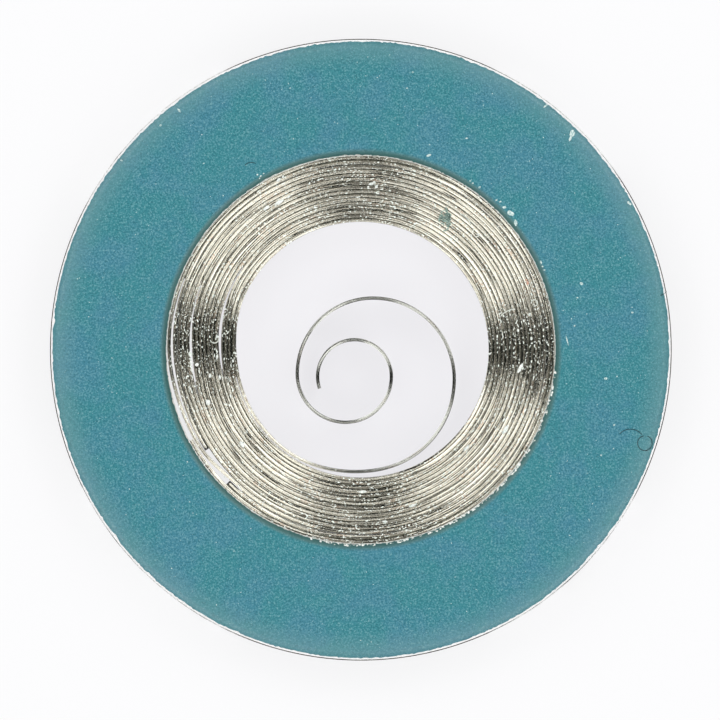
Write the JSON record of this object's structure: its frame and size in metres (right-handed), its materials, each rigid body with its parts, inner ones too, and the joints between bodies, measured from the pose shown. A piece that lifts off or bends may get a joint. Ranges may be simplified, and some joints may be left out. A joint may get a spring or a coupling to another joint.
{
  "type": "watch mainspring",
  "caption": "Automatic watch mainspring with slipping bridle, wound up in its lacquered steel retaining ring, with a free inner coil for the barrel arbor.",
  "frame": {"origin": "centre of the ring, on the plane that its underside lies on", "axes": "+Z up along the bore's axis, out of the lacquered face; +X to the right and +Y up in the picture's view from above"},
  "size_m": [0.0168, 0.0168, 0.0015],
  "materials": {
    "ring_steel": "stamped mild steel, torn edge at the foot",
    "teal_lacquer": "speckled satin lacquer",
    "spring_steel": "polished spring strip with rounded edges",
    "bridle_steel": "satin spring strip"
  },
  "bodies": {
    "ring": {"retaining_ring": "ring_steel", "lacquer_coat": "teal_lacquer"},
    "spring": {"blade": "spring_steel", "bridle": "bridle_steel"}
  },
  "joints": [
    {"name": "spring_push_out", "type": "slide", "parent": "ring", "child": "spring", "axis": [0, 0, 1], "range_m": [0, 0.0014]}
  ]
}
